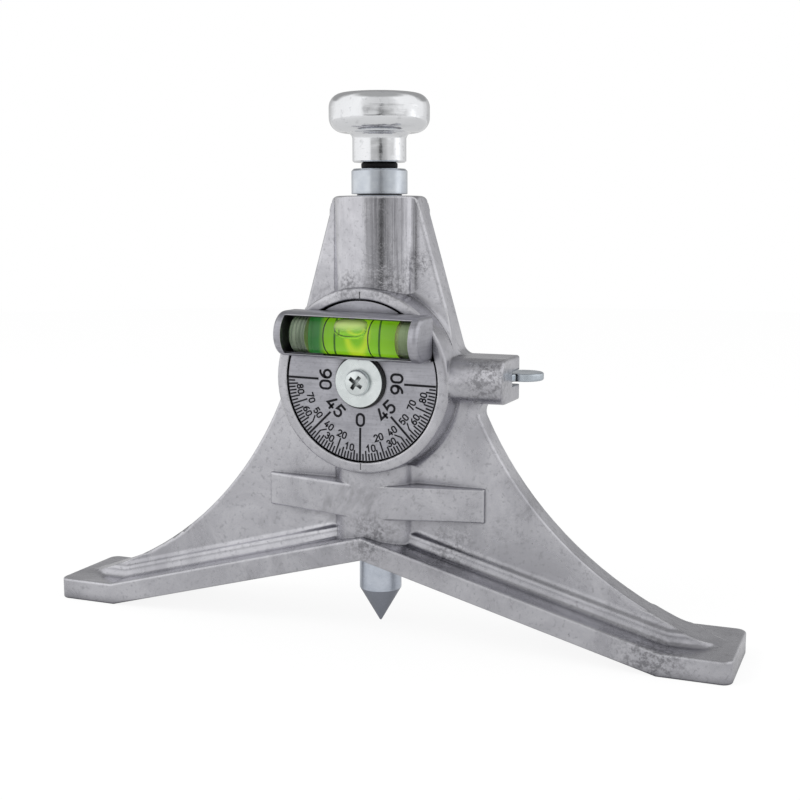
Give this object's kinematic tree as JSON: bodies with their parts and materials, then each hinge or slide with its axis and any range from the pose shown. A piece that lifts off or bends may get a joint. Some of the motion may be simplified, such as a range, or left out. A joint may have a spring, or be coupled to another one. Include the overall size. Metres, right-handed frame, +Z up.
{
  "type": "pipe center finder",
  "caption": "V-footed cast pipe centre finder with a knob-topped sprung centre punch and a turning degree dial that carries a bubble vial.",
  "frame": {"origin": "the point on the punch's axis at the level of the toe soles, straight under the barrel", "axes": "+X along the two legs towards the lock lever, -Y towards the dial's face, +Z up the barrel to the knob"},
  "size_m": [0.1878, 0.0373, 0.1387],
  "materials": {
    "cast_aluminium": "satin, as cast and tumbled",
    "dial_aluminium": "satin, machined",
    "zinc_steel": "zinc plated",
    "punch_steel": "ground, hardened",
    "spring_steel": "drawn",
    "polished_chrome": "polished",
    "black_rubber": "matte",
    "black_fibre": "matte",
    "black_paint": "matte",
    "clear_acrylic": "clear",
    "green_fluid": "clear yellow-green",
    "yellow_brass": "turned"
  },
  "bodies": {
    "frame_body": {"body_casting": "cast_aluminium", "guide_collar": "zinc_steel", "bumper_ring": "black_rubber", "return_spring": "spring_steel", "pivot_screw": "zinc_steel", "pivot_washer": "zinc_steel", "friction_washer": "black_fibre", "cone_washer": "spring_steel", "lever_pin": "punch_steel", "lever_spacers": "zinc_steel"},
    "punch_body": {"punch": "punch_steel", "strike_knob": "polished_chrome", "spring_clip": "spring_steel"},
    "dial_body": {"dial_casting": "dial_aluminium", "dial_scale": "black_paint", "vial_tube": "clear_acrylic", "vial_plugs": "clear_acrylic", "vial_lines": "black_paint", "vial_fluid": "green_fluid"},
    "lever_body": {"lock_lever": "zinc_steel"},
    "shoe_body": {"lock_shoe": "yellow_brass"}
  },
  "joints": [
    {"name": "punch_slide", "type": "slide", "parent": "frame_body", "child": "punch_body", "axis": [0, 0, 1], "range_m": [0, 0.019], "stiffness_N_per_m": 200, "springref_m": -0.01, "deforming": ["return_spring"]},
    {"name": "dial_turn", "type": "hinge", "parent": "frame_body", "child": "dial_body", "pos_m": [0, -0.0105, 0.0667], "axis": [0, -1, 0], "continuous": true},
    {"name": "lever_turn", "type": "hinge", "parent": "frame_body", "child": "lever_body", "pos_m": [0.03, -0.009, 0.0679], "axis": [0, 0, 1], "range_deg": [0, 30]},
    {"name": "shoe_slide", "type": "slide", "parent": "frame_body", "child": "shoe_body", "axis": [1, 0, 0], "range_m": [-0.000296, 0]}
  ],
  "couplings": [
    {"joint": "shoe_slide", "follows": "lever_turn", "m_per_rad": -0.0005635}
  ]
}
